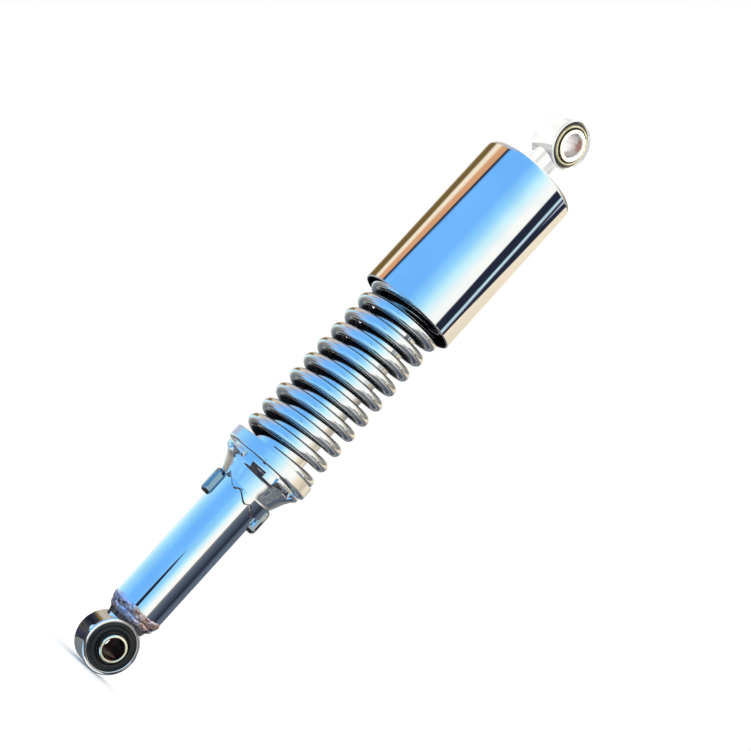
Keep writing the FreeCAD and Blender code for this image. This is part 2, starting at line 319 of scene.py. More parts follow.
class Nodes:
    """A material's node tree with short ways to add and join nodes."""

    def __init__(self, name):
        self.material = bpy.data.materials.new(name)
        self.material.use_nodes = True
        self.tree = self.material.node_tree
        self.shader = self.tree.nodes["Principled BSDF"]
        self.place = self.add("TexCoord").outputs["Object"]

    def add(self, kind, **settings):
        node = self.tree.nodes.new("ShaderNode" + kind)
        for key, value in settings.items():
            setattr(node, key, value)
        return node

    def link(self, source, target):
        self.tree.links.new(source, target)

    def noise(self, scale, detail=3.0, stretch=(1, 1, 1)):
        """Noise of a scale given in cycles a metre."""
        mapping = self.add("Mapping")
        mapping.inputs["Scale"].default_value = stretch
        self.link(self.place, mapping.inputs["Vector"])
        texture = self.add("TexNoise")
        texture.inputs["Scale"].default_value = scale
        texture.inputs["Detail"].default_value = detail
        self.link(mapping.outputs[0], texture.inputs["Vector"])
        return texture.outputs["Fac"]

    def cells(self, scale):
        texture = self.add("TexVoronoi")
        texture.inputs["Scale"].default_value = scale
        self.link(self.place, texture.inputs["Vector"])
        return texture.outputs["Distance"]

    def product(self, first, second):
        node = self.add("Math", operation="MULTIPLY")
        self.link(first, node.inputs[0])
        self.link(second, node.inputs[1])
        return node.outputs[0]

    def from_axis(self, height=None, turn=0.0):
        """The distance from the damper's axis, or from an eye's axis at a height, in metres."""
        mapping = self.add("Mapping")
        if height is None:
            mapping.inputs["Scale"].default_value = (1, 1, 0)
        else:
            mapping.vector_type = "POINT"
            mapping.inputs["Location"].default_value = (0, 0, -z_of(height) / 1000)
            mapping.inputs["Rotation"].default_value = (0, 0, -math.radians(turn))
            mapping.inputs["Scale"].default_value = (1, 1, 1)
        self.link(self.place, mapping.inputs["Vector"])
        out = mapping.outputs[0]
        if height is not None:
            flat = self.add("VectorMath", operation="MULTIPLY")
            flat.inputs[1].default_value = (1, 0, 1)
            self.link(out, flat.inputs[0])
            out = flat.outputs[0]
        length = self.add("VectorMath", operation="LENGTH")
        self.link(out, length.inputs[0])
        return length.outputs["Value"]

    def height(self):
        node = self.add("SeparateXYZ")
        self.link(self.place, node.inputs[0])
        return node.outputs["Z"]

    def larger(self, first, second):
        node = self.add("Math", operation="MAXIMUM")
        self.link(first, node.inputs[0])
        self.link(second, node.inputs[1])
        return node.outputs[0]

    def spread(self, value, low, high, to_low, to_high):
        """A value's range mapped onto another, clamped."""
        node = self.add("MapRange")
        self.link(value, node.inputs["Value"])
        node.inputs["From Min"].default_value = low
        node.inputs["From Max"].default_value = high
        node.inputs["To Min"].default_value = to_low
        node.inputs["To Max"].default_value = to_high
        return node.outputs["Result"]

    def colours(self, value, stops):
        """A colour ramp over a value, from (place, colour) stops."""
        node = self.add("ValToRGB")
        set_stops(node.color_ramp, stops)
        self.link(value, node.inputs["Fac"])
        return node.outputs["Color"]

    def mixed(self, share, first, second):
        """Two colour sockets mixed by a share socket."""
        node = self.add("Mix", data_type="RGBA")
        self.link(share, node.inputs["Factor"])
        self.link(first, node.inputs["A"])
        self.link(second, node.inputs["B"])
        return node.outputs["Result"]

    def bump(self, height, strength, distance, under=None):
        node = self.add("Bump")
        node.inputs["Strength"].default_value = strength
        node.inputs["Distance"].default_value = distance
        self.link(height, node.inputs["Height"])
        if under is not None:
            self.link(under, node.inputs["Normal"])
        return node.outputs["Normal"]

    def finish(self, colour=None, roughness=None, normal=None, **constants):
        for socket, source in (("Base Color", colour), ("Roughness", roughness), ("Normal", normal)):
            if source is not None:
                self.link(source, self.shader.inputs[socket])
        for key, value in constants.items():
            self.shader.inputs[key.replace("_", " ").title().replace("Ior", "IOR")].default_value = value
        return self.material


def set_stops(ramp, stops):
    ramp.elements[0].position = stops[0][0]
    ramp.elements[0].color = (*stops[0][1], 1)
    ramp.elements[1].position = stops[-1][0]
    ramp.elements[1].color = (*stops[-1][1], 1)
    for place, colour in stops[1:-1]:
        ramp.elements.new(place).color = (*colour, 1)


def tone(red, green, blue):
    """A display colour, 0 to 255 a channel, as linear light."""
    return tuple((c / 255) ** 2.2 for c in (red, green, blue))


# Materials


def chrome(name, wave, low_rough, high_rough, specks, tint=1.0):
    """Plating with a faint ripple, fine polishing marks, dust specks and slightly dull patches.

    The side of the spring that faces the axis and the inside of the cover are near black and rough: painted
    shade."""
    n = Nodes(name)
    patches = n.noise(60, 4)
    marks = n.noise(900, 2, (1, 1, 0.08))
    dust_and_painted_highlight = n.spread(n.cells(260), 0.0, 0.06, 1.0, 0.0)
    dust_patches = n.spread(n.noise(35, 2), 0.52, 0.62, 0.0, specks)
    spots = n.product(dust_and_painted_highlight, dust_patches)
    clean = n.colours(patches, [
        (0.3, (0.585 * tint, 0.595 * tint, 0.61 * tint)),
        (0.7, (0.64 * tint, 0.645 * tint, 0.65 * tint)),
    ])
    dirty = n.colours(marks, [(0.3, (0.16, 0.155, 0.145)), (0.7, (0.24, 0.23, 0.22))])
    colour = n.mixed(spots, clean, dirty)
    rough = n.spread(patches, 0.35, 0.7, low_rough, high_rough)
    # Painted shade: this near-black colour stands for the shade on the spring's side facing the axis and
    # inside the cover
    bare_and_painted_shade = n.colours(patches, [(0.3, (0.015, 0.017, 0.028)), (0.7, (0.028, 0.030, 0.044))])
    if name == "spring_chrome":
        middle = SPRING_R - WIRE / 2
        inside = n.spread(n.from_axis(), (middle - SPRING_PAINTED_SHADE) / 1000, middle / 1000, 1.0, 0.0)
        colour = n.mixed(inside, colour, bare_and_painted_shade)
        rough = n.larger(rough, n.product(inside, n.spread(marks, 0.3, 0.7, 0.50, 0.56)))
        # The spring's painted shade also takes the metal away there, so it stays black
        n.link(n.spread(inside, 0.0, 0.6, 1.0, 0.0), n.shader.inputs["Metallic"])
    # Painted shade inside the cover, below its top
    if name == "cover_chrome":
        start, end = [(COVER_R - depth) / 1000 for depth in COVER_PAINTED_SHADE_SIDE]
        inner = n.spread(n.from_axis(), end, start, 1.0, 0.0)
        start, end = [(z_of(COVER_TOP) - depth) / 1000 for depth in COVER_PAINTED_SHADE_TOP]
        under = n.spread(n.height(), end, start, 1.0, 0.0)
        inside = n.product(inner, under)
        colour = n.mixed(inside, colour, bare_and_painted_shade)
        rough = n.larger(rough, n.product(inside, n.spread(marks, 0.3, 0.7, 0.5, 0.6)))
    ripple = n.bump(n.noise(150, 2), wave, 0.0004)
    fine = n.bump(marks, 0.02, 0.0001, ripple)
    return n.finish(colour, rough, fine, metallic=1.0, specular_ior_level=0.1)


def yellow_zinc():
    """Chromated zinc plating: straw yellow with faint clouds; the bores are bare and rusting."""
    n = Nodes("yellow_zinc")
    clouds = n.noise(180, 4)
    plated = n.colours(clouds, [
        (0.30, (0.86, 0.80, 0.58)), (0.46, (0.95, 0.91, 0.72)),
        (0.56, (0.93, 0.87, 0.64)), (0.70, (0.90, 0.80, 0.60)),
    ])
    stain = n.noise(260, 5)
    rust = n.colours(stain, [
        (0.35, (0.012, 0.006, 0.005)), (0.50, (0.045, 0.012, 0.009)), (0.64, (0.14, 0.030, 0.018)),
    ])
    bare_and_painted_shade = n.colours(n.noise(90, 5), [
        (0.40, (0.66, 0.65, 0.66)), (0.55, (0.56, 0.53, 0.53)), (0.66, (0.34, 0.16, 0.12)),
    ])
    in_upper = n.spread(n.from_axis(EYE_TO_EYE), 0.00655, 0.00675, 1.0, 0.0)
    in_lower = n.spread(n.from_axis(0, LOWER_TURN), 0.00555, 0.00575, 1.0, 0.0)
    colour = n.mixed(in_lower, n.mixed(in_upper, plated, bare_and_painted_shade), rust)
    rough = n.spread(n.noise(700, 3), 0.3, 0.7, 0.18, 0.34)
    turned_marks = n.noise(2500, 2, (1, 0.1, 1))
    return n.finish(colour, rough, n.bump(turned_marks, 0.04, 0.0001), metallic=1.0)


def bush_rubber():
    """Moulded black rubber with a fine matt grain, a grey bloom and a cream painted highlight on the upper
    ridge.
    """
    n = Nodes("bush_rubber")
    bloom = n.noise(240, 5)
    colour = n.colours(bloom, [(0.35, (0.006, 0.0065, 0.008)), (0.75, (0.017, 0.017, 0.019))])
    out = n.from_axis(EYE_TO_EYE)
    low, high = [radius / 1000 for radius in RIDGE_HIGHLIGHT_INNER]
    inner = n.spread(out, low, high, 0.0, 1.0)
    high, low = [radius / 1000 for radius in RIDGE_HIGHLIGHT_OUTER]
    ridge = n.product(inner, n.spread(out, low, high, 1.0, 0.0))
    # Painted highlight: a cream ring on the upper bush's ridge stands for glare
    dust_and_painted_highlight = n.colours(bloom, [(0.35, (0.40, 0.35, 0.20)), (0.70, (0.66, 0.60, 0.42))])
    low, high = [z_of(EYE_TO_EYE - depth) / 1000 for depth in RIDGE_HIGHLIGHT_FOOT]
    upper = n.spread(n.height(), low, high, 0.0, 1.0)
    colour = n.mixed(n.product(ridge, upper), colour, dust_and_painted_highlight)
    rough = n.spread(bloom, 0.3, 0.7, 0.34, 0.5)
    grain = n.bump(n.noise(3800, 4), 0.12, 0.0001)
    return n.finish(colour, rough, grain, specular_ior_level=0.34)


def turned_steel(name, dark, light, low_rough, high_rough):
    """Machined metal with fine turning marks and darker oiled clouds."""
    n = Nodes(name)
    clouds = n.noise(120, 4)
    marks = n.noise(1600, 2, (0.15, 0.15, 1))
    colour = n.colours(clouds, [(0.3, dark), (0.7, light)])
    rough = n.spread(marks, 0.3, 0.7, low_rough, high_rough)
    return n.finish(colour, rough, n.bump(marks, 0.12, 0.0001), metallic=1.0)


def sintered_iron():
    """Dark grey iron with open pores."""
    n = Nodes("sintered_iron")
    pores = n.spread(n.cells(1500), 0.0, 0.35, 0.0, 1.0)
    colour = n.colours(pores, [(0.0, (0.07, 0.07, 0.072)), (1.0, (0.23, 0.23, 0.235))])
    rough = n.spread(n.noise(500), 0.3, 0.7, 0.45, 0.65)
    return n.finish(colour, rough, n.bump(pores, 0.4, 0.0001), metallic=1.0)


def ring_plastic():
    """Filled bearing plastic, brown with pale filler."""
    n = Nodes("ring_plastic")
    filler = n.noise(1200, 5)
    colour = n.colours(filler, [(0.35, (0.10, 0.06, 0.035)), (0.7, (0.17, 0.11, 0.07))])
    rough = n.spread(n.noise(300), 0.3, 0.7, 0.35, 0.5)
    return n.finish(colour, rough, n.bump(filler, 0.1, 0.0001))


def weld_metal():
    """A plated-over weld: rough, tinted straw, violet and blue by its heat, with brown soot."""
    n = Nodes("weld_metal")
    heat = n.noise(150, 5)
    tint = n.colours(heat, [
        (0.30, tone(150, 112, 104)), (0.42, tone(226, 190, 176)), (0.50, tone(232, 208, 214)),
        (0.58, tone(212, 206, 234)), (0.70, tone(232, 200, 188)),
    ])
    soot = n.spread(n.noise(300, 5), 0.58, 0.68, 0.0, 0.85)
    dark = n.colours(heat, [(0.3, (0.030, 0.018, 0.014)), (0.7, (0.075, 0.042, 0.032))])
    colour = n.mixed(soot, tint, dark)
    rough = n.spread(n.noise(900, 5), 0.3, 0.7, 0.32, 0.6)
    coarse = n.bump(n.noise(650, 5), 0.5, 0.0006)
    return n.finish(colour, rough, n.bump(n.noise(2600, 4), 0.3, 0.0002, coarse), metallic=1.0)


FINISHES = {
    "cover_chrome": chrome("cover_chrome", 0.010, 0.010, 0.035, 0.35),
    "body_chrome": chrome("body_chrome", 0.015, 0.012, 0.04, 0.8),
    # Painted shade: the lugs' copy of the chrome has its base colour darkened by a tint of 0.48
    "lug_chrome_painted_shade": chrome("lug_chrome_painted_shade", 0.03, 0.05, 0.12, 0.8, 0.48),
    "spring_chrome": chrome("spring_chrome", 0.04, 0.03, 0.08, 0.8),
    "rod_chrome": chrome("rod_chrome", 0.004, 0.05, 0.09, 0.1),
    "yellow_zinc": yellow_zinc(),
    "bush_rubber": bush_rubber(),
    "plain_steel": turned_steel("plain_steel", (0.36, 0.355, 0.35), (0.52, 0.515, 0.51), 0.22, 0.42),
    "sintered_iron": sintered_iron(),
    "guide_bronze": turned_steel("guide_bronze", (0.42, 0.26, 0.12), (0.60, 0.40, 0.20), 0.2, 0.38),
    "ring_plastic": ring_plastic(),
    "weld_metal": weld_metal(),
}


def finish_cad_nodes():
    """Gives each carried-over node the detailed finish of its own slot."""
    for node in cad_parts.values():
        for i, material in enumerate(node.data.materials):
            name = material.name.split(".")[0]
            node.data.materials[i] = FINISHES[name]


# Upper half


def make_upper_cover():
    """A thin drawn cup, mouth down, with a rounded shoulder and a softly rolled rim."""
    inner = COVER_R - COVER_WALL
    inside_top = COVER_TOP - 1.5
    outline = eased([
        (5.2, inside_top), (inner, inside_top, COVER_SHOULDER - COVER_WALL), (inner, COVER_RIM, 0.3),
        (COVER_R, COVER_RIM, 0.45), (COVER_R, COVER_TOP, COVER_SHOULDER), (5.2, COVER_TOP),
    ], steps=10)
    make_piece("upper_cover", upright(lathe(outline, 384)), "upper_body", "cover_chrome")


def make_upper_eye():
    """The ring with its neck, which a weld's fillet joins to the cover."""
    half = UPPER_RING_LENGTH / 2
    ring = make_mesh("ring", across(lathe(eased([
        (0, -half), (UPPER_RING_R, -half, 0.7), (UPPER_RING_R, half, 0.7), (0, half),
    ], closed=False), 160, closed=False), EYE_TO_EYE))
    neck = make_mesh("neck", upright(lathe(eased([
        (0, COVER_TOP), (11.5, COVER_TOP), (11.3, COVER_TOP + 1.6, 0.8), (7.8, COVER_TOP + 4.6, 3.0),
        (7.6, EYE_TO_EYE - 9), (0, EYE_TO_EYE - 9),
    ], closed=False), 128, closed=False)))
    eye = combined(ring, neck, "UNION")
    bore = make_mesh("bore", across(lathe([
        (0, -half - 2), (UPPER_BUSH_R + 3.0, -half - 2), (UPPER_BUSH_R, 1.4 - half),
        (UPPER_BUSH_R, half - 1.4), (UPPER_BUSH_R + 3.0, half + 2), (0, half + 2),
    ], 160, closed=False), EYE_TO_EYE))
    eye = combined(eye, bore, "DIFFERENCE")
    eye.name = "upper_eye_detail"
    smooth(eye.data, 32)
    finish_piece(eye, "upper_eye", "upper_body", "body_chrome")


def bush_outline(outer, inner, length):
    """A bush whose ends have an inner lip, a groove, a proud ridge and a recessed rim."""
    half = length / 2
    width = outer - inner
    side = [
        (inner, half - 1.2, 0.1),
        (inner + 0.04 * width, half - 0.5, 0.12), (inner + 0.14 * width, half - 0.5, 0.15),
        (inner + 0.20 * width, half - 1.3, 0.2), (inner + 0.28 * width, half - 1.3, 0.2),
        (inner + 0.34 * width, half, 0.25), (inner + 0.64 * width, half, 0.3),
        (inner + 0.70 * width, half - 1.0, 0.25), (inner + 0.90 * width, half - 1.2, 0.3),
        (outer, half - 1.3, 0.1),
    ]
    other = [(radius, -along, ease) for radius, along, ease in side]
    return eased(other + side[::-1])


def sleeve_outline(outer, inner, length):
    """A sleeve with a countersunk bore and a faceted rim."""
    half = length / 2
    side = [
        (outer, half - 0.35, 0.12), (outer - 0.35, half, 0.12),
        (inner + 0.7, half, 0.12), (inner, half - 0.8, 0.2),
    ]
    other = [(radius, -along, ease) for radius, along, ease in side[::-1]]
    return eased(other + side)


def make_upper_bush():
    outline = bush_outline(UPPER_BUSH_R, UPPER_SLEEVE_R + 0.05, UPPER_BUSH_LENGTH)
    rubber = across(lathe(outline, 160), EYE_TO_EYE)
    make_piece("upper_bush_rubber", rubber, "upper_body", "bush_rubber")
    outline = sleeve_outline(UPPER_SLEEVE_R, UPPER_BORE_R, UPPER_SLEEVE_LENGTH)
    sleeve = across(lathe(outline, 160), EYE_TO_EYE)
    make_piece("upper_bush_sleeve", sleeve, "upper_sleeve", "yellow_zinc")


# Spring, seat and adjuster


def make_main_spring():
    """Round wire swept along a helix, its ends cut square."""
    low = SPRING_FOOT + WIRE / 2
    high = SPRING_HEAD - WIRE / 2
    coil_r = SPRING_R - WIRE / 2
    turns = (high - low) / SPRING_PITCH
    steps = int(turns * 120)
    around = 36
    vertices = []
    faces = []
    climb = SPRING_PITCH / (2 * math.pi)
    for i in range(steps + 1):
        share = i / steps
        angle = math.radians(SPRING_START_ANGLE) + 2 * math.pi * turns * share
        out = Vector((math.cos(angle), math.sin(angle), 0))
        tangent = Vector((-math.sin(angle) * coil_r, math.cos(angle) * coil_r, climb)).normalized()
        up = out.cross(tangent) * -1
        centre = out * coil_r + Vector((0, 0, z_of(low + (high - low) * share)))
        for k in range(around):
            a = 2 * math.pi * k / around
            vertices.append(tuple(centre + (out * math.cos(a) + up * math.sin(a)) * (WIRE / 2)))
    for i in range(steps):
        for k in range(around):
            m = (k + 1) % around
            a = i * around
            b = a + around
            faces.append([a + k, a + m, b + m, b + k])
    faces.append(list(range(around))[::-1])
    faces.append([steps * around + k for k in range(around)])
    spring = make_piece("main_spring", (vertices, faces), "spring_seat", "spring_chrome", 50.0)
    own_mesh(spring)


def make_lower_spring_seat():
    """A pressed cup with a thin upstanding rim."""
    outline = eased([
        (ADJUSTER_BORE_R, SEAT_BOTTOM), (SEAT_R, SEAT_BOTTOM, 1.3), (SEAT_R, SEAT_RIM, 0.3),
        (SEAT_R - 0.7, SEAT_RIM, 0.3), (SEAT_R - 0.7, SPRING_FOOT, 0.4), (ADJUSTER_BORE_R, SPRING_FOOT),
    ])
    make_piece("lower_spring_seat", upright(lathe(outline, 256)), "spring_seat", "body_chrome")


def cam_height(angle):
    """The height of the cam's edge at an angle past the lug that stands in its first notch."""
    ceiling = LUG_TOP + 0.15
    last = NOTCH_STEP_ANGLE * (NOTCH_COUNT - 1)
    ramp = ceiling - NOTCH_LIFT * min(max(angle, 0), last) / NOTCH_STEP_ANGLE
    step = angle / NOTCH_STEP_ANGLE
    if step < CREST_PLACE:
        return ramp
    if angle > last:
        return ramp + NOTCH_DEPTH
    place = step - math.floor(step)
    if place < CREST_PLACE:
        share = 1 - place / CREST_PLACE
    else:
        share = (place - CREST_PLACE) / (1 - CREST_PLACE)
    return ramp + NOTCH_DEPTH * (0.5 - 0.5 * math.cos(math.pi * share))


def cam_edge(angle):
    """The height of the sleeve's lower edge at an angle about Z."""
    past = (angle - LUG_ANGLES[0]) % 180
    if past > 180 - LUG_HALF_ANGLE:
        past -= 180
    last = NOTCH_STEP_ANGLE * (NOTCH_COUNT - 1) + LUG_HALF_ANGLE
    if past > last:
        return STOP_LOW
    return cam_height(past)


def slot_share(angle):
    """1 inside a spanner slot, 0 outside it, with a narrow rounded edge between."""
    step = 360 / SPANNER_SLOTS
    away = abs((angle - FIRST_SLOT_ANGLE + step / 2) % step - step / 2)
    return min(max((SPANNER_SLOT_HALF_ANGLE + 0.35 - away) / 0.7, 0), 1)


def adjuster_angles():
    """Angles about Z, close together at the slots' and the stops' edges."""
    angles = {round(0.5 * i, 3) for i in range(720)}
    step = 360 / SPANNER_SLOTS
    for i in range(SPANNER_SLOTS):
        for side in (-1, 1):
            edge = FIRST_SLOT_ANGLE + step * i + side * SPANNER_SLOT_HALF_ANGLE
            angles.update(round((edge + 0.12 * k) % 360, 3) for k in range(-4, 5))
    last = NOTCH_STEP_ANGLE * (NOTCH_COUNT - 1) + LUG_HALF_ANGLE
    for lug in LUG_ANGLES:
        for edge in (lug - LUG_HALF_ANGLE, lug + last):
            angles.update(round((edge + 0.02 * k) % 360, 3) for k in range(-3, 4))
    return sorted(angles)


def adjuster_outline(angle):
    """The adjuster's section at an angle: bore, cam edge, sleeve, flare, slotted flange and top."""
    edge = cam_edge(angle)
    flange = ADJUSTER_FLANGE_R
    flange -= (flange - SPANNER_SLOT_FLOOR_R) * slot_share(angle)
    bevel = 1.5 - 1.4 * slot_share(angle)
    neck = min(18.7, flange - 0.12)
    return [
        (ADJUSTER_BORE_R, edge + 1.4), (ADJUSTER_BORE_R + 0.45, edge + 0.1),
        (ADJUSTER_SLEEVE_R - 0.6, edge),
        (ADJUSTER_SLEEVE_R, edge + 0.75), (ADJUSTER_SLEEVE_R, max(93.2, edge + 0.8)),
        (ADJUSTER_SLEEVE_R, max(94.5, edge + 0.85)), (15.0, max(95.8, edge + 0.9)),
        (15.5, 97.0), (16.2, 98.4), (16.9, 100.0), (17.5, 101.4), (17.95, 102.4), (18.35, 103.2),
        (18.8, 103.9), (19.3, 104.5), (19.65, 105.2),
        (flange - bevel, 106.0), (flange - 0.5 * bevel, 106.6), (flange - 0.15 * bevel, 107.3),
        (flange, 107.9), (flange, 108.2), (flange, 108.6), (flange - 0.1, 108.9), (neck, 108.9),
        (neck, SEAT_BOTTOM), (ADJUSTER_BORE_R, SEAT_BOTTOM),
    ]


def make_preload_adjuster():
    angles = adjuster_angles()
    vertices = []
    faces = []
    for angle in angles:
        a = math.radians(angle)
        for radius, height in adjuster_outline(angle):
            vertices.append((radius * math.cos(a), radius * math.sin(a), height))
    size = len(adjuster_outline(0))
    for i in range(len(angles)):
        here = i * size
        there = ((i + 1) % len(angles)) * size
        for k in range(size):
            m = (k + 1) % size
            faces.append([here + k, there + k, there + m, here + m])
    make_piece("preload_adjuster", upright((vertices, faces)), "adjuster", "body_chrome")


# Damper body


def make_stop_lugs():
    """Two upright pills with a rolled edge."""
    corner = 16
    shapes = []
    rows = []
    half = LUG_WIDTH / 2
    rows.append((TUBE_R - 0.5, 0.0))
    rows.append((LUG_OUTER_R - LUG_ROUND, 0.0))
    for k in range(1, 13):
        a = math.pi / 2 * k / 12
        reach = LUG_OUTER_R - LUG_ROUND + LUG_ROUND * math.sin(a)
        rows.append((reach, LUG_ROUND - LUG_ROUND * math.cos(a)))
    rows.append((LUG_OUTER_R, LUG_ROUND + 0.3))
    for lug in LUG_ANGLES:
        vertices = []
        faces = []
        for reach, inset in rows:
            r = half - inset
            for top in (1, -1):
                middle = LUG_TOP - half if top > 0 else LUG_TOP - LUG_LENGTH + half
                for k in range(corner + 1):
                    a = math.pi * k / corner + (0 if top > 0 else math.pi)
                    vertices.append((reach, r * math.cos(a), middle + r * math.sin(a)))
        size = 2 * (corner + 1)
        for i in range(len(rows) - 1):
            for k in range(size):
                m = (k + 1) % size
                faces.append([i * size + k, i * size + m, (i + 1) * size + m, (i + 1) * size + k])
        last = (len(rows) - 1) * size
        faces.append([last + k for k in range(size)])
        faces.append(list(range(size))[::-1])
        turn = Matrix.Rotation(math.radians(lug), 3, "Z")
        shapes.append(([tuple(turn @ Vector(v)) for v in vertices], faces))
    make_piece("stop_lugs", upright(joined(*shapes)), "lower_body", "body_chrome", finish="lug_chrome_painted_shade")


def make_lower_tube():
    inner = TUBE_R - TUBE_WALL
    outline = eased([
        (inner, TUBE_FOOT), (TUBE_R, TUBE_FOOT, 0.2), (TUBE_R, TUBE_TOP, 0.2), (inner, TUBE_TOP),
    ])
    make_piece("lower_tube", upright(lathe(outline, 256)), "lower_body", "body_chrome")


def make_bottom_cap():
    """The dished plug that narrows from the tube to the ring and is welded to it."""
    cap = make_mesh("cap", upright(lathe(eased([
        (0, 6), (9.4, 6), (9.8, 12, 2.0), (11.4, 16.5, 2.0),
        (TUBE_R - 0.4, TUBE_FOOT, 0.2), (11.6, TUBE_FOOT), (11.6, 28), (8.0, 28), (0, 25),
    ], closed=False), 160, closed=False)))
    ring = make_mesh("ring", across(lathe([
        (0, -20), (LOWER_RING_R - 0.4, -20), (LOWER_RING_R - 0.4, 20), (0, 20),
    ], 160, closed=False), 0, LOWER_TURN))
    cap = combined(cap, ring, "DIFFERENCE")
    cap.name = "bottom_cap_detail"
    smooth(cap.data, 32)
    finish_piece(cap, "bottom_cap", "lower_body", "body_chrome")


def weld_profile(share):
    """How far the weld stands out from the joint, from its lower toe at 0 to its upper toe at 1."""
    return math.sin(math.pi * min(max(share, 0), 1)) ** 0.45


def make_lower_weld_bead():
    """A broad weld laid by hand in two runs: overlapping ripples, lumps and an uneven upper toe."""
    segments = 540
    profile = 34
    vertices = []
    faces = []
    for s in range(segments):
        angle = 2 * math.pi * s / segments
        out = Vector((math.cos(angle), math.sin(angle), 0))
        toe = TUBE_FOOT + 1.0 + 1.3 * noise.noise(out * 2.6 + Vector((3, 1, 4))) + 0.4 * noise.noise(out * 9)
        heel = TUBE_FOOT - 6.0 + 0.8 * noise.noise(out * 2.0 + Vector((9, 2, 6)))
        lap = TUBE_FOOT - 3.2 + 0.7 * noise.noise(out * 3.0 + Vector((5, 5, 5)))
        for k in range(profile):
            share = k / (profile - 1)
            height = heel + (toe - heel) * share
            seam = math.exp(-((height - lap) / 0.45) ** 2)
            ripple = abs(math.sin(angle * 15 + 2.5 * share + 4 * noise.noise(out * 3)))
            lump = noise.noise(Vector((out.x * 5, out.y * 5, height * 0.4)))
            knob = noise.noise(Vector((out.x * 13, out.y * 13, height * 1.0)))
            fine = noise.noise(Vector((out.x * 30, out.y * 30, height * 2.4)))
            proud = 0.12 + 0.38 * weld_profile(share) + 0.05 * ripple
            for depth, rough in ((0.46, lump), (0.16, knob), (0.07, fine), (-0.30, seam)):
                proud += depth * rough
            under = max(TUBE_FOOT - height, 0)
            base = TUBE_R - 0.42 * min(under, 5) ** 0.9 - 0.6 * max(under - 5, 0)
            radius = base + max(proud, 0.02) * (1 if 0 < k < profile - 1 else 0.05)
            vertices.append((radius * out.x, radius * out.y, height))
        vertices.append(((TUBE_R - 0.3) * out.x, (TUBE_R - 0.3) * out.y, toe))
        vertices.append(((TUBE_R - 3.4) * out.x, (TUBE_R - 3.4) * out.y, heel + 0.3))
    size = profile + 2
    for s in range(segments):
        here = s * size
        there = ((s + 1) % segments) * size
        for k in range(size):
            m = (k + 1) % size
            faces.append([here + k, there + k, there + m, here + m])
    bead = make_mesh("bead", upright((vertices, faces)), 60.0)
    ring = make_mesh("ring", across(lathe([
        (0, -20), (LOWER_RING_R - 0.3, -20), (LOWER_RING_R - 0.3, 20), (0, 20),
    ], 160, closed=False), 0, LOWER_TURN))
    bead = combined(bead, ring, "DIFFERENCE")
    bead.name = "lower_weld_bead_detail"
    smooth(bead.data, 60)
    finish_piece(bead, "lower_weld_bead", "lower_body", "weld_metal")


def make_lower_eye():
    half = LOWER_RING_LENGTH / 2
    outline = eased([
        (LOWER_BUSH_R, -half, 0.25), (LOWER_RING_R, -half, 0.7),
        (LOWER_RING_R, half, 0.7), (LOWER_BUSH_R, half, 0.25),
    ])
    make_piece("lower_eye", across(lathe(outline, 192), 0, LOWER_TURN), "lower_body", "body_chrome")


def make_lower_bush():
    rubber = lathe(bush_outline(LOWER_BUSH_R, LOWER_SLEEVE_R + 0.05, LOWER_BUSH_LENGTH), 160)
    make_piece("lower_bush_rubber", across(rubber, 0, LOWER_TURN), "lower_body", "bush_rubber")
    sleeve = lathe(sleeve_outline(LOWER_SLEEVE_R, LOWER_BORE_R, LOWER_SLEEVE_LENGTH), 160)
    make_piece("lower_bush_sleeve", across(sleeve, 0, LOWER_TURN), "lower_sleeve", "yellow_zinc")


# Studio

# The surround's palette
SKY = tone(110, 180, 250)
PALE_SKY = tone(145, 210, 250)
HAZE = tone(200, 240, 250)
SUNLIT = tone(250, 250, 245)
CREAM = tone(240, 225, 200)
SAND = tone(200, 190, 170)
COPPER = tone(210, 155, 115)
UMBER = tone(110, 90, 55)
STONE = tone(130, 130, 125)
SLATE = tone(90, 100, 115)
INK = tone(40, 45, 60)
LILAC = tone(175, 180, 200)

# What the plating mirrors. Each table holds one elevation's colours round the damper, and a colour's
# place is in degrees from the camera, to the right positive.
NADIR_BANDS = (
    (-180, SLATE), (-120, LILAC), (-60, PALE_SKY), (0, PALE_SKY), (20, INK), (50, INK),
    (90, STONE), (180, SLATE),
)
UNDER_BANDS = (
    (-180, SLATE), (-130, STONE), (-90, LILAC), (-60, SKY), (-20, PALE_SKY), (20, HAZE), (45, SUNLIT),
    (60, STONE), (110, SLATE), (180, INK),
)
COIL_BANDS = (
    (-180, STONE), (-130, SAND), (-100, LILAC), (-60, SKY), (-20, SKY), (0, PALE_SKY), (20, HAZE),
    (40, SUNLIT), (80, SUNLIT), (100, SAND), (130, STONE), (180, STONE),
)
TUBE_BANDS = (
    (-180, STONE), (-150, HAZE), (-100, PALE_SKY), (-60, SKY), (-30, SKY), (5, PALE_SKY), (20, HAZE),
    (35, SUNLIT), (49, SUNLIT), (52, STONE), (60, SLATE), (100, INK), (120, SLATE), (180, SLATE),
)
SEAT_BANDS = (
    (-180, LILAC), (-140, LILAC), (-110, PALE_SKY), (-60, SKY), (-30, SKY), (0, PALE_SKY), (20, HAZE),
    (40, SUNLIT), (65, SUNLIT), (80, CREAM), (110, SAND), (130, CREAM), (180, STONE),
)
COVER_BANDS = (
    (-180, SAND), (-150, UMBER), (-128, UMBER), (-120, CREAM), (-112, CREAM), (-105, COPPER), (-92, COPPER),
    (-89, INK), (-86, INK), (-80, SKY), (-20, SKY), (5, PALE_SKY), (25, HAZE), (50, SUNLIT), (65, SUNLIT),
    (68, INK), (87, INK), (91, HAZE), (95, LILAC), (98, INK), (112, INK), (115, CREAM), (180, SAND),
)
TOP_BANDS = (
    (-180, SLATE), (-100, SKY), (-20, PALE_SKY), (20, HAZE), (90, SUNLIT), (130, SAND), (180, SLATE),
)
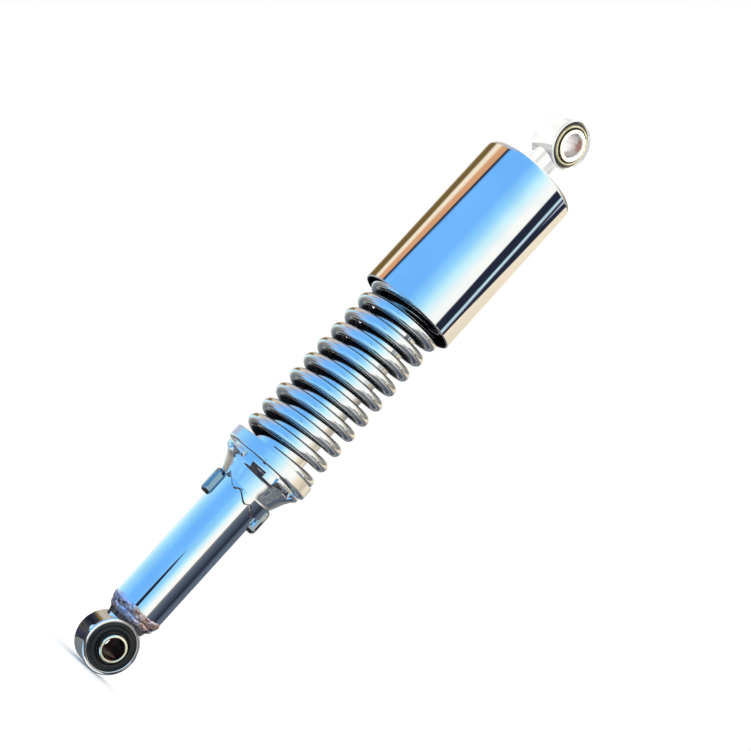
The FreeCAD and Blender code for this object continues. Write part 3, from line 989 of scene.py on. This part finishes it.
# Each table, and the elevations over which it gives way to the next one. The last has no next.
BANDS = (
    (NADIR_BANDS, -60, -48), (UNDER_BANDS, -20, -10), (COIL_BANDS, -8, -5), (TUBE_BANDS, 3.3, 4.3),
    (SEAT_BANDS, 4.9, 7.6), (COIL_BANDS, 7.8, 11.2), (COVER_BANDS, 18.5, 22),
    (COIL_BANDS, 50, 65), (TOP_BANDS, 90, 90),
)
# How far the cover's bands lean with the elevation, as a share of the steepest lean
LEAN = (
    (-180, (0.0,) * 3), (-125, (0.0,) * 3), (-95, (0.6,) * 3), (-75, (0.6,) * 3), (-50, (0.0,) * 3),
    (100, (0.0,) * 3), (105, (1.0,) * 3), (130, (1.0,) * 3), (170, (0.0,) * 3), (180, (0.0,) * 3),
)
LEAN_MIDDLE = 14.4            # the elevation at which the leaning bands are where the table says
LEAN_STEEPEST = 3.9           # degrees round for each degree of elevation


class World:
    """The world's node tree with short ways to add and join nodes."""

    def __init__(self):
        world = bpy.data.worlds.new("studio")
        bpy.context.scene.world = world
        world.use_nodes = True
        self.tree = world.node_tree
        self.tree.nodes.clear()

    def add(self, kind, **settings):
        node = self.tree.nodes.new("ShaderNode" + kind)
        for key, value in settings.items():
            setattr(node, key, value)
        return node

    def link(self, source, target):
        self.tree.links.new(source, target)

    def math(self, operation, *values):
        node = self.add("Math", operation=operation)
        for socket, value in zip(node.inputs, values):
            if isinstance(value, (int, float)):
                socket.default_value = value
            else:
                self.link(value, socket)
        return node.outputs[0]

    def bands(self, place, table):
        node = self.add("ValToRGB")
        set_stops(node.color_ramp, [(degrees / 360 + 0.5, colour) for degrees, colour in table])
        self.link(place, node.inputs["Fac"])
        return node.outputs["Color"]

    def mixed(self, share, first, second):
        node = self.add("Mix", data_type="RGBA")
        self.link(share, node.inputs["Factor"])
        self.link(first, node.inputs["A"])
        self.link(second, node.inputs["B"])
        return node.outputs["Result"]

    def plain(self, colour):
        node = self.add("RGB")
        node.outputs[0].default_value = (*colour, 1)
        return node.outputs[0]

    def eased(self, value, start, end):
        """0 before start, 1 after end, and a straight ramp between."""
        node = self.add("MapRange")
        self.link(value, node.inputs["Value"])
        node.inputs["From Min"].default_value = start
        node.inputs["From Max"].default_value = end
        return node.outputs["Result"]

    def light(self, colour, strength):
        node = self.add("Background")
        if isinstance(colour, tuple):
            node.inputs["Color"].default_value = (*colour, 1)
        else:
            self.link(colour, node.inputs["Color"])
        node.inputs["Strength"].default_value = strength
        return node.outputs[0]

    def chosen(self, share, first, second):
        node = self.add("MixShader")
        self.link(share, node.inputs[0])
        self.link(first, node.inputs[1])
        self.link(second, node.inputs[2])
        return node.outputs[0]


def make_surround():
    """White to the camera, a soft white light on everything matt, and bands of colour in mirrors."""
    w = World()
    direction = w.add("TexCoord").outputs["Generated"]
    parts = w.add("SeparateXYZ")
    w.link(direction, parts.inputs[0])
    azimuth = w.math("ARCTAN2", parts.outputs["Y"], parts.outputs["X"])
    offset = w.math("SUBTRACT", azimuth, math.radians(CAMERA_AZIMUTH))
    wrapped = w.math("WRAP", offset, math.pi, -math.pi)
    torn = w.add("TexNoise")
    w.link(direction, torn.inputs["Vector"])
    torn.inputs["Scale"].default_value = 34.0
    torn.inputs["Detail"].default_value = 5.0
    place = w.math("MULTIPLY_ADD", wrapped, 1 / (2 * math.pi), 0.5)
    place = w.math("ADD", place, w.math("MULTIPLY_ADD", torn.outputs[0], BAND_TEAR, -BAND_TEAR / 2))
    rise = w.math("MULTIPLY", w.math("ARCSINE", parts.outputs["Z"]), math.degrees(1))
    past = w.math("SUBTRACT", rise, LEAN_MIDDLE)
    shift = w.math("MULTIPLY", w.bands(place, LEAN), w.math("MULTIPLY", past, -LEAN_STEEPEST / 360))
    leaning = w.math("ADD", place, shift)
    mirrored = w.bands(place, BANDS[0][0])
    for (_, start, end), (table, _, _) in zip(BANDS, BANDS[1:]):
        shown = w.bands(leaning if table is COVER_BANDS else place, table)
        mirrored = w.mixed(w.eased(rise, start, end), mirrored, shown)
    steepness = math.degrees(1) / POST_HALF_WIDTH
    across_post = w.math("MULTIPLY_ADD", wrapped, steepness, -POST_PLACE / POST_HALF_WIDTH)
    up_post = w.math("MULTIPLY_ADD", rise, 1 / POST_RISE, -POST_FOOT / POST_RISE)
    from_post = w.math("ADD", w.math("POWER", across_post, 2.0), w.math("POWER", up_post, 2.0))
    mirrored = w.mixed(w.eased(from_post, 0.8, 1.1), w.plain(INK), mirrored)
    ray = w.add("LightPath")
    seen = w.light((1.0, 1.0, 1.0), 1.0)
    soft = w.light((1.0, 1.0, 1.0), SOFT_STRENGTH)
    bands = w.light(mirrored, MIRRORED_STRENGTH)
    out = w.chosen(ray.outputs["Is Glossy Ray"], soft, bands)
    out = w.chosen(ray.outputs["Is Camera Ray"], out, seen)
    w.link(out, w.add("OutputWorld").inputs["Surface"])


def make_floor(low):
    """A wide pale floor."""
    size = 6.0
    mesh = bpy.data.meshes.new("floor")
    count = 24
    vertices = []
    for i in range(count + 1):
        for j in range(count + 1):
            vertices.append((size * (2 * i / count - 1), size * (2 * j / count - 1), low - FLOOR_DROP))
    faces = []
    for i in range(count):
        for j in range(count):
            a = i * (count + 1) + j
            faces.append([a, a + count + 1, a + count + 2, a + 1])
    mesh.from_pydata(vertices, [], faces)
    floor = bpy.data.objects.new("floor", mesh)
    bpy.context.scene.collection.objects.link(floor)
    n = Nodes("floor_paper")
    grain = n.noise(40, 4)
    colour = n.colours(grain, [(0.3, (0.955, 0.955, 0.955)), (0.7, (0.975, 0.975, 0.975))])
    rough = n.spread(grain, 0.3, 0.7, 0.85, 0.95)
    mesh.materials.append(n.finish(colour, rough, n.bump(n.noise(900), 0.05, 0.0002)))
    floor.visible_glossy = False


def only_mirrored(card):
    """A card that the plating mirrors, and that neither the camera nor the soft light meets."""
    card.visible_camera = False
    card.visible_diffuse = False
    card.visible_shadow = False
    card.visible_transmission = False


def sector(outline, start, end, steps=48):
    """A (radius, height) outline in metres swept part of the way round the damper."""
    vertices = []
    faces = []
    for i in range(steps + 1):
        angle = math.radians(CAMERA_AZIMUTH + start + (end - start) * i / steps)
        for radius, height in outline:
            vertices.append((radius * math.cos(angle), radius * math.sin(angle), height))
    size = len(outline)
    for i in range(steps):
        for k in range(size - 1):
            a = i * size + k
            faces.append([a, a + size, a + size + 1, a + 1])
    return vertices, faces


def make_card(name, shape, material):
    vertices, faces = shape
    mesh = bpy.data.meshes.new(name)
    mesh.from_pydata(vertices, [], faces)
    mesh.materials.append(material)
    card = bpy.data.objects.new(name, mesh)
    bpy.context.scene.collection.objects.link(card)
    only_mirrored(card)


def make_mats(low):
    """Dark and slate mats on the floor round the object, a low dark fence and a blue card."""
    n = Nodes("mat_felt")
    colour = n.colours(n.noise(60, 6), [
        (0.36, tone(28, 34, 52)), (0.48, tone(58, 64, 78)),
        (0.56, tone(92, 86, 84)), (0.66, tone(60, 52, 50)),
    ])
    felt = n.finish(colour, n.spread(n.noise(90, 3), 0.3, 0.7, 0.8, 0.95))
    n = Nodes("mat_slate")
    shades = [(0.34, INK), (0.48, SLATE), (0.60, STONE), (0.70, SLATE)]
    n.link(n.colours(n.noise(45, 5), shades), n.shader.inputs["Emission Color"])
    slate = n.finish(emission_strength=MIRRORED_STRENGTH, base_color=BLACK)
    for i, (start, end, inner, outer) in enumerate(MATS):
        cloth = slate if i else felt
        make_card(f"mat_{i}", sector([(inner, low + MAT_RISE), (outer, low + MAT_RISE)], start, end), cloth)
    fence = sector([(FENCE_R, low), (FENCE_R, low + FENCE_HEIGHT)], *FENCE_SECTOR)
    make_card("fence", fence, felt)
    n = Nodes("card_blue")
    shades = [(0.3, SKY), (0.7, PALE_SKY)]
    n.link(n.colours(n.noise(20, 2), shades), n.shader.inputs["Emission Color"])
    blue = n.finish(emission_strength=MIRRORED_STRENGTH, base_color=BLACK)
    start, end, inner, outer = BLUE_CARD
    height = low + BLUE_CARD_RISE
    make_card("card_blue", sector([(inner, height), (outer, height)], start, end), blue)


def make_tent():
    """A glowing white tent round the upper eye, with one bright spot on its side."""
    n = Nodes("tent_cloth")
    folds = n.noise(70, 2, (1, 1, 0.4))
    shades = [(0.34, (0.62, 0.62, 0.60)), (0.46, (0.92, 0.91, 0.86)), (0.56, (1.0, 1.0, 0.98))]
    n.link(n.colours(folds, shades), n.shader.inputs["Emission Color"])
    glow = n.finish(emission_strength=MIRRORED_STRENGTH, base_color=BLACK)
    make_card("tent", sector(TENT_OUTLINE, *TENT_SECTOR), glow)
    n = Nodes("tent_lamp")
    shades = [(0.3, (1.0, 0.97, 0.88)), (0.7, (1.0, 0.98, 0.92))]
    n.link(n.colours(n.noise(30, 3), shades), n.shader.inputs["Emission Color"])
    lamp = n.finish(emission_strength=LAMP_STRENGTH)
    a = math.radians(CAMERA_AZIMUTH + LAMP_PLACE)
    e = math.radians(LAMP_RISE)
    out = Vector((math.cos(a) * math.cos(e), math.sin(a) * math.cos(e), math.sin(e)))
    turn = out.to_track_quat("Z", "Y")
    vertices = [tuple(out * LAMP_DISTANCE)]
    faces = []
    for k in range(32):
        b = 2 * math.pi * k / 32
        rim = turn @ Vector((LAMP_R * math.cos(b), LAMP_R * math.sin(b), 0))
        vertices.append(tuple(out * LAMP_DISTANCE + rim))
        faces.append([0, 1 + k, 1 + (k + 1) % 32])
    make_card("tent_lamp", (vertices, faces), lamp)


def make_camera():
    data = bpy.data.cameras.new("camera")
    data.sensor_width = 36.0
    data.lens = LENS
    data.clip_start = 0.01
    camera = bpy.data.objects.new("camera", data)
    bpy.context.scene.collection.objects.link(camera)
    a = math.radians(CAMERA_AZIMUTH)
    camera.location = (CAMERA_RADIUS * math.cos(a), CAMERA_RADIUS * math.sin(a), CAMERA_HEIGHT)
    a = math.radians(AIM_AZIMUTH)
    e = math.radians(AIM_ELEVATION)
    aim = Vector((math.cos(a) * math.cos(e), math.sin(a) * math.cos(e), math.sin(e)))
    camera.rotation_mode = "QUATERNION"
    roll = Quaternion((0, 0, 1), math.radians(CAMERA_ROLL))
    camera.rotation_quaternion = aim.to_track_quat("-Z", "Y") @ roll
    bpy.context.scene.camera = camera


finish_cad_nodes()
make_upper_cover()
make_upper_eye()
make_upper_bush()
make_main_spring()
make_lower_spring_seat()
make_preload_adjuster()
make_stop_lugs()
make_lower_tube()
make_bottom_cap()
make_lower_weld_bead()
make_lower_eye()
make_lower_bush()
make_surround()
make_floor(cad_low.z)
make_mats(cad_low.z)
make_tent()
make_camera()
bpy.context.scene.view_settings.view_transform = "Standard"
